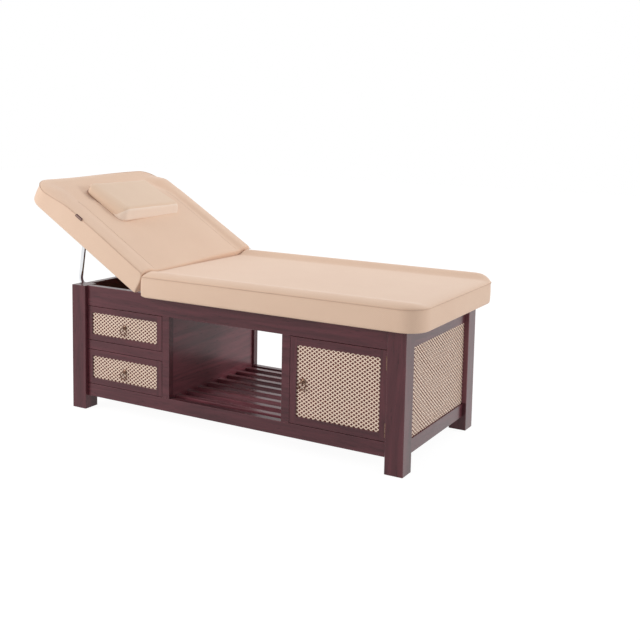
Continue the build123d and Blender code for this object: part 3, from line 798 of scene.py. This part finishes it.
class Pad:
    """Upholstered section in its hinge frame: x outward from the hinge, y across, n up."""

    def __init__(self, node, place, shape):
        low, high = local_span(node, place)
        frame_low, _ = local_span(node.replace("pad", "frame"), place)
        self.place = place
        self.shape = shape
        self.length = high[0]
        self.half = high[1] - BAND_BULGE
        self.end = self.length - BAND_BULGE - shape["draw_in"]
        self.top = high[2]
        self.seam_low = self.top - shape["seam_drop"]
        self.bottom = low[2] - shape["hang"]
        self.underside = frame_low[2] + FRAME_CLEARANCE
        self.straight = round((self.length - CORNER) / ROW_STEP)
        self.rows = self.straight + ARC_ROWS
        self.front_sign = 1 if (place.to_3x3() @ Vector((0, 1, 0))).y < 0 else -1

    def column(self, j):
        """-1 to 1 across the pad, closer together near the sides."""
        u = 2 * j / COLUMNS - 1
        return (u + 2 * sin(pi / 2 * u)) / 3

    def plan(self, i, j, inset, start):
        """Point of the plan at a row and column, with the outline moved in by inset."""
        centre = self.end - CORNER
        if i <= self.straight:
            return start + (centre - start) * i / self.straight, self.column(j) * (self.half - inset)
        turn = (i - self.straight) / ARC_ROWS * pi / 2
        reach = CORNER - inset
        width = self.half - CORNER + reach * cos(turn)
        return centre + reach * sin(turn), self.column(j) * width

    def edge_distance(self, x, y):
        """Distance in from the outline, which is open at the hinge."""
        over_x = x - (self.end - CORNER)
        over_y = abs(y) - (self.half - CORNER)
        if over_x > 0 and over_y > 0:
            return max(CORNER - hypot(over_x, over_y), 0.0)
        return max(min(self.end - x, self.half - abs(y)), 0.0)

    def across(self, near, far, y):
        """Value that goes from the near side's to the far side's."""
        reach = self.half * SIDE_BLEND
        return near + (far - near) * smoothstep(-reach, reach, -self.front_sign * y)

    def seam(self, x, y):
        """Height of the piping, which stays high along the sides and dips towards the free end."""
        arch = self.shape["arch"] * smoothstep(0.0, self.length * ARCH_FULL, x)
        past = smoothstep(self.length * DIP_START, self.length * DIP_END, x)
        level = self.seam_low + self.across(0.0, self.shape["far_seam"], y)
        return level + arch * (1 - past) - self.shape["dip"] * past

    def height(self, x, y):
        """Top surface: rises from the seam, with a raised bolster along each side."""
        inward = min(self.edge_distance(x, y) / self.across(*self.shape["rise"], y), 1.0)
        rise = (1 - (1 - inward) ** SHOULDER_STEEP) ** SHOULDER_ROUND
        wide = self.shape["bolster"]
        bolster = 1 - smoothstep(wide * BOLSTER_CREST, wide * BOLSTER_FOOT, self.half - abs(y))
        along = smoothstep(*self.shape["fade"], self.end - x)
        crown = CROWN * cos(pi / 2 * min(abs(y) / self.half, 1.0))
        raised = (CENTRE_DROP + self.across(*self.shape["lift"], y)) * bolster * along
        seam = self.seam(x, y)
        full = max(self.top - CENTRE_DROP + crown + raised, seam)
        return seam + (full - seam) * rise

    def start(self, n):
        """Hinge end of the pad at a height: upright below the hinge line, mitred above."""
        return GAP + max(n, 0.0) * tan(MITRE)

    def border(self):
        """Rows and columns of the edge, once round."""
        loop = [(0, j) for j in range(COLUMNS)]
        loop += [(i, COLUMNS) for i in range(self.rows)]
        loop += [(self.rows, j) for j in range(COLUMNS, 0, -1)]
        return loop + [(i, 0) for i in range(self.rows, 0, -1)]

    def top_point(self, i, j):
        """Point of the top surface, whose hinge end leans back along the mitre."""
        n = self.height(*self.plan(i, j, 0.0, GAP))
        return Vector((*self.plan(i, j, 0.0, self.start(n)), n))

    def ceiling_point(self, i, j):
        """Point of the flat inside of the cover, on top of the box frame."""
        return Vector((*self.plan(i, j, COVER, GAP + COVER_END), FRAME_TOP))

    def sheet(self, shell, point_of, loose):
        """Rows of point numbers; a loose sheet is free inside its border."""
        rows = []
        for i in range(self.rows + 1):
            row = []
            for j in range(COLUMNS + 1):
                inside = 0 < i < self.rows and 0 < j < COLUMNS
                row.append(shell.add(point_of(i, j), loose and inside))
            rows.append(row)
        return rows

    def ring(self, shell, levels, inset, inner=False, loose=False):
        """Loop of point numbers round the cover, outside it or on its inner wall."""
        made = []
        for (i, j), n in zip(self.border(), levels):
            if i == 0:
                n = max(n, self.underside)
            x, y = self.plan(i, j, inset, GAP + COVER_END if inner else self.start(n))
            made.append(shell.add(Vector((x, y, n)), loose and i > 0))
        return made

    def build(self, name):
        """Closed mesh: top, band, turned-under rim, inner wall and ceiling over the box frame."""
        shell = Shell()
        edge = self.border()
        top = self.sheet(shell, self.top_point, loose=True)
        shell.fill(top, upward=True)
        loops = [[top[i][j] for i, j in edge]]
        heights = [shell.points[number].z for number in loops[0]]
        soft_bottom = self.bottom + BAND_CURL
        for k in range(1, BAND_RINGS + 1):
            share = k / BAND_RINGS
            levels = [n + (soft_bottom - n) * share for n in heights]
            inset = BAND_TUCK * (1 - sin(pi * share))
            loops.append(self.ring(shell, levels, inset, loose=k < BAND_RINGS))
        for rise, inset in RIM:
            loops.append(self.ring(shell, [self.bottom + rise] * len(edge), inset))
        for level in (self.bottom, self.bottom / 2):
            loops.append(self.ring(shell, [level] * len(edge), COVER, inner=True))
        ceiling = self.sheet(shell, self.ceiling_point, loose=False)
        loops.append([ceiling[i][j] for i, j in edge])
        for outer, inner in zip(loops, loops[1:]):
            shell.bridge(outer, inner)
        shell.fill(ceiling, upward=False)
        made = mesh_object(name, shell.points, shell.faces, cloth)
        puff(made, shell.hold, CUSHION_SWELL)
        made.data.transform(self.place)
        rounded(made)
        return made

    def seam_points(self, out):
        """Seam line up one side, round the free end and back."""
        points = []
        for i, j in self.border()[COLUMNS:] + [(0, 0)]:
            x, y = self.plan(i, j, -out, self.start(self.seam_low))
            points.append(self.place @ Vector((x, y, self.seam(x, y))))
        return points


def puff(made, hold, cap):
    """Inflate a closed cloth from its held points, then keep each point within cap of where it was."""
    before = [v.co.copy() for v in made.data.vertices]
    group = made.vertex_groups.new(name="held")
    for index, weight in enumerate(hold):
        group.add([index], max(weight, FREE_WEIGHT), "REPLACE")
    modifier = made.modifiers.new("Cloth", "CLOTH")
    settings = modifier.settings
    settings.quality = 4
    settings.mass = 0.2
    settings.tension_stiffness = 20
    settings.compression_stiffness = 20
    settings.bending_stiffness = 1.0
    settings.use_pressure = True
    settings.uniform_pressure_force = CLOTH_PRESSURE
    settings.effector_weights.gravity = 0
    settings.vertex_group_mass = "held"
    modifier.point_cache.frame_end = CLOTH_FRAMES
    scene = bpy.context.scene
    for step in range(1, CLOTH_FRAMES + 1):
        scene.frame_set(step)
    shaped = made.evaluated_get(bpy.context.evaluated_depsgraph_get())
    after = [v.co.copy() for v in shaped.data.vertices]
    made.modifiers.remove(modifier)
    scene.frame_set(1)
    made.vertex_groups.clear()
    for vertex, old, new in zip(made.data.vertices, before, after):
        shift = new - old
        if shift.length > 0:
            vertex.co = old + shift.normalized() * cap * (1 - 1 / (1 + shift.length / cap))


def make_section(name, node, place, body, shape):
    """One cushion with its piping; gives back its pad and its object."""
    pad = Pad(node, place, shape)
    made = pad.build(name)
    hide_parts(node)
    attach(made, body)
    verts, faces = tube(pad.seam_points(PIPING_RADIUS * PIPING_OUT), PIPING_RADIUS, PIPING_SIDES)
    piping = mesh_object(name + "_piping", verts, faces, welt)
    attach(piping, body)
    return pad, made


def stitch_line(name, pad, made, side):
    """Stitching along the inner side of one bolster, laid on the finished surface."""
    bpy.context.view_layer.update()
    skin = made.evaluated_get(bpy.context.evaluated_depsgraph_get())
    down = pad.place.to_3x3() @ Vector((0, 0, -1))
    across = side * (pad.half - pad.shape["bolster"] * STITCH_SHARE)
    points = []
    for k in range(STITCH_POINTS):
        x = STITCH_START + (STITCH_END - STITCH_START) * k / (STITCH_POINTS - 1)
        hit, spot, _, _ = skin.ray_cast(pad.place @ Vector((x, across, ABOVE_PAD)), down)
        if hit:
            points.append(spot)
    verts, faces = tube(points, STITCH_RADIUS, STITCH_SIDES)
    line = mesh_object(name, verts, faces, welt)
    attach(line, "backrest")


def tag_patch(x0, x1, y, n0, n1, crease):
    """Thin cushioned patch on the plane y, leaning in above its crease."""
    wide = TAG_STEPS + 1
    verts, faces = [], []
    for i in range(wide):
        for j in range(wide):
            u, v = i / TAG_STEPS, j / TAG_STEPS
            swell = TAG_SWELL * (sin(pi * u) * sin(pi * v)) ** TAG_FLATNESS
            n = n0 + (n1 - n0) * v
            verts.append(Vector((x0 + (x1 - x0) * u, y + swell - max(n - crease, 0), n)))
    for i in range(TAG_STEPS):
        for j in range(TAG_STEPS):
            a = i * wide + j
            faces.append((a, a + 1, a + wide + 1, a + wide))
    return verts, faces


def make_tag(place, pad):
    """Blank woven tag folded over the piping of the backrest: a dark border round a paler face."""
    side = pad.half + BAND_BULGE + TAG_CLEARANCE
    seam = pad.seam(TAG_FROM_HINGE + TAG_LENGTH / 2, pad.front_sign * pad.half)
    for name, border, out, finish in (
        ("tag_cloth", 0.0, 0.0, tag_dark),
        ("tag_face", TAG_BORDER, TAG_FACE_OUT, tag_light),
    ):
        x0, x1 = TAG_FROM_HINGE + border, TAG_FROM_HINGE + TAG_LENGTH - border
        n0, n1 = seam - TAG_HEIGHT / 2 + border, seam + TAG_HEIGHT / 2 - border
        verts, faces = moved(tag_patch(x0, x1, side + out, n0, n1, seam), place)
        made = mesh_object("backrest_" + name, verts, faces, finish)
        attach(made, "backrest")


# ================================================================ pillow
def loaf_outline(half_x):
    """Rounded rectangle as (x, height share) pairs, with points along its straight sides."""
    sides = ((1, 1, LOAF_FLAT), (-1, 1, LOAF_UPRIGHT), (-1, -1, LOAF_FLAT), (1, -1, LOAF_UPRIGHT))
    points = []
    for corner, (sx, sv, count) in enumerate(sides):
        for k in range(LOAF_ARC + 1):
            turn = pi / 2 * (corner + k / LOAF_ARC)
            x = sx * (half_x - PILLOW_EDGE) + PILLOW_EDGE * cos(turn)
            points.append((x, sv * (1 - LOAF_EDGE_SHARE) + LOAF_EDGE_SHARE * sin(turn)))
        last_x, last_v = points[-1]
        for k in range(1, count):
            back = 1 - 2 * k / count
            points.append((last_x, last_v * back) if corner % 2 else (last_x * back, last_v))
    return points


def eased(distance, span):
    """0 until the last span before an edge, then round to 1 at the edge."""
    past = max(span - distance, 0.0) / span
    return 1 - sqrt(max(1 - past * past, 0.0))


def pillow_slice(outline, middle, half, base, across):
    """One slice of the wedge, narrower and lower near the pillow's ends."""
    from_side = half[1] - abs(across)
    inset = PILLOW_CORNER * eased(from_side, PILLOW_CORNER)
    slim = 1 - PILLOW_SLIM * eased(from_side, PILLOW_ROLL)
    points = []
    for x, v in outline:
        x *= 1 - inset / half[0]
        taper = (half[0] - x) / (2 * half[0])
        thick = half[2] * (PILLOW_THIN + (1 - PILLOW_THIN) * taper)
        x += PILLOW_LEAN * v * taper
        n = base + thick * (1 + v) * slim
        points.append(Vector((middle[0] + x - PILLOW_SHIFT, middle[1] + across, n)))
    return points


def paint_gusset_light(made, around):
    """Second material on the upright side of the pillow that looks to the foot end: a lighter copy of the cloth,
    painted light.
    """
    made.data.materials.append(gusset_painted_light_cloth)
    first = LOAF_ARC + LOAF_FLAT + LOAF_ARC // 2 + 1
    painted_light_faces = range(first, first + LOAF_ARC + LOAF_UPRIGHT)
    for face in made.data.polygons[:PILLOW_SLICES * around]:
        if face.index % around in painted_light_faces:
            face.material_index = 1


def make_pillow(place):
    """Wedge pillow with rounded ends, thick at the foot side, in a fitted cover with piping; the piping's dark
    cloth is painted shade at the foot of the pillow, and the side that faces the foot end is painted lighter.
    """
    low, high = local_span("pillow", place)
    middle = [(a + b) / 2 for a, b in zip(low, high)]
    half = [(b - a) / 2 - PILLOW_SKIN for a, b in zip(low, high)]
    outline = loaf_outline(half[0])
    verts = []
    for s in range(PILLOW_SLICES + 1):
        across = -half[1] * cos(pi * s / PILLOW_SLICES)
        verts += pillow_slice(outline, middle, half, low[2] + PILLOW_SKIN, across)
    faces = sleeve(PILLOW_SLICES + 1, len(outline))
    made = mesh_object("pillow_cover", verts, faces, pillow_cloth)
    paint_gusset_light(made, len(outline))
    puff(made, [0.0] * len(verts), PILLOW_SWELL)
    made.data.transform(place)
    rounded(made)
    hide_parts("pillow")
    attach(made, "pillow")
    verts, faces = pillow_shade_piping(place, middle, half, low[2] + WELT_HEIGHT)
    piping = mesh_object("pillow_shade_piping", verts, faces, contact_shade_welt)
    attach(piping, "pillow")


def pillow_shade_piping(place, middle, half, level):
    """Piping round the foot of the pillow, in dark cloth that is painted shade where the pillow meets the
    backrest.
    """
    points = []
    steps = 4 * WELT_ARC
    reach = PILLOW_CORNER + PIPING_RADIUS
    for k in range(steps):
        turn = 2 * pi * k / steps + pi / steps
        x = copysign(half[0] - PILLOW_CORNER, cos(turn)) + reach * cos(turn)
        y = copysign(half[1] - PILLOW_CORNER, sin(turn)) + reach * sin(turn)
        points.append(place @ Vector((middle[0] + x - PILLOW_SHIFT, middle[1] + y, level)))
    return tube(points, PIPING_RADIUS, PIPING_SIDES, closed=True)


def make_upholstery():
    """Seat, backrest with its stitching and tag, and pillow."""
    hinge = Matrix.Translation(Vector(joint("backrest_hinge")["pos_m"]))
    back_place = hinge @ Matrix.Rotation(radians(RAISED), 4, "Y") @ Matrix.Rotation(pi, 4, "Z")
    make_section("seat_cushion", "seat_pad", hinge, "base", SEAT_SHAPE)
    pad, made = make_section("backrest_cushion", "backrest_pad", back_place, "backrest", BACK_SHAPE)
    stitch_line("backrest_cushion_stitch_front", pad, made, 1)
    stitch_line("backrest_cushion_stitch_back", pad, made, -1)
    make_pillow(back_place)
    make_tag(back_place, pad)


# ================================================================ stage, light and camera
def shows_background(tree):
    """1 for rays that see the background itself or its reflection, 0 for light that falls on things."""
    path = add(tree, "ShaderNodeLightPath").outputs
    mirrored = maths(tree, "MAXIMUM", path["Is Glossy Ray"], path["Is Transmission Ray"])
    return maths(tree, "MAXIMUM", path["Is Camera Ray"], mirrored)


def make_floor():
    """White floor that keeps a pale shadow."""
    made, tree, bsdf = shader("studio_floor")
    bsdf.inputs["Base Color"].default_value = (*FLOOR_COLOUR, 1)
    bsdf.inputs["Roughness"].default_value = 0.9
    soft = add(tree, "ShaderNodeBsdfDiffuse", {"Color": (*FLOOR_SHADOW, 1)})
    glow = add(tree, "ShaderNodeEmission", {"Color": (1, 1, 1, 1), "Strength": FLOOR_GLOW})
    seen = add(tree, "ShaderNodeAddShader", {0: soft.outputs[0], 1: glow.outputs[0]})
    parts = {0: shows_background(tree), 1: bsdf.outputs[0], 2: seen.outputs[0]}
    both = add(tree, "ShaderNodeMixShader", parts)
    output = next(n for n in tree.nodes if n.type == "OUTPUT_MATERIAL")
    tree.links.new(both.outputs[0], output.inputs["Surface"])
    signs = ((-1, -1), (1, -1), (1, 1), (-1, 1))
    corners = [Vector((x * FLOOR_HALF, y * FLOOR_HALF, 0)) for x, y in signs]
    mesh_object("floor", corners, [(0, 1, 2, 3)], made, smooth=False)


def make_surround():
    """White surround, dimmer for the light that it gives."""
    world = bpy.data.worlds.new("surround")
    bpy.context.scene.world = world
    world.use_nodes = True
    tree = world.node_tree
    background = tree.nodes["Background"]
    background.inputs["Color"].default_value = (1, 1, 1, 1)
    strength = spread(tree, shows_background(tree), AMBIENT, 1.0)
    tree.links.new(strength, background.inputs["Strength"])


def area_light(name, spot, target, size, power):
    """Soft lamp aimed at a point."""
    data = bpy.data.lights.new(name, "AREA")
    data.shape = "RECTANGLE"
    data.size, data.size_y = size
    data.energy = power
    made = bpy.data.objects.new(name, data)
    made.location = spot
    made.rotation_euler = (Vector(target) - Vector(spot)).to_track_quat("-Z", "Y").to_euler()
    bpy.context.scene.collection.objects.link(made)


def make_lights():
    """Soft boxes at the front left, far off at the foot end, and above the back."""
    area_light("front_left", spot=(-2.7, -3.0, 2.3), target=(-0.2, 0, 0.5), size=(2.0, 1.6), power=66)
    area_light("foot_end", spot=(8.6, 5.2, 2.9), target=(-0.3, 0, 0.6), size=(1.6, 1.6), power=250)
    area_light("above_back", spot=(0.3, 2.6, 3.4), target=(0, 0, 0.5), size=(1.6, 1.2), power=30)


def make_camera():
    """Camera solved from the photograph."""
    flat = cos(CAMERA_PITCH)
    forward = Vector((-sin(CAMERA_YAW) * flat, cos(CAMERA_YAW) * flat, -sin(CAMERA_PITCH)))
    right = Vector((cos(CAMERA_YAW), sin(CAMERA_YAW), 0))
    up = right.cross(forward)
    level = right * cos(CAMERA_ROLL) + up * sin(CAMERA_ROLL)
    above = up * cos(CAMERA_ROLL) - right * sin(CAMERA_ROLL)
    turn = Matrix((level, above, -forward)).transposed().to_4x4()
    data = bpy.data.cameras.new("camera")
    data.sensor_width = SENSOR
    data.lens = FOCAL_PIXELS / IMAGE_WIDTH * SENSOR
    data.shift_y = (PRINCIPAL_ROW - IMAGE_WIDTH / 2) / IMAGE_WIDTH
    made = bpy.data.objects.new("camera", data)
    made.matrix_world = Matrix.Translation(CAMERA_SPOT) @ turn
    bpy.context.scene.collection.objects.link(made)
    bpy.context.scene.camera = made


cane = cane_finish()
cloth = fabric("ribbed_upholstery", *COVER_CLOTH, COVER_RIB)
pillow_cloth = fabric("pillow_cover_cloth", *PILLOW_CLOTH, COVER_RIB)
gusset_painted_light_cloth = fabric("pillow_gusset_painted_light", *GUSSET_PAINTED_LIGHT_CLOTH, COVER_RIB)
welt = fabric("piping_cloth", *WELT_CLOTH, WELT_RIB)
contact_shade_welt = fabric("pillow_contact_shade_cloth", *CONTACT_SHADE_WELT_CLOTH, WELT_RIB)
tag_dark = fabric("tag_border", *TAG_BORDER_CLOTH, TAG_RIB)
tag_light = fabric("tag_face", *TAG_FACE_CLOTH, TAG_RIB)
bronze = metal("antique_bronze", *BRONZE)

paint_nodes()
make_cane()
for pull in ("drawer_upper", "drawer_lower", "door"):
    make_pull(pull)
make_upholstery()
make_floor()
make_surround()
make_lights()
make_camera()
bpy.context.scene.view_settings.view_transform = "Standard"
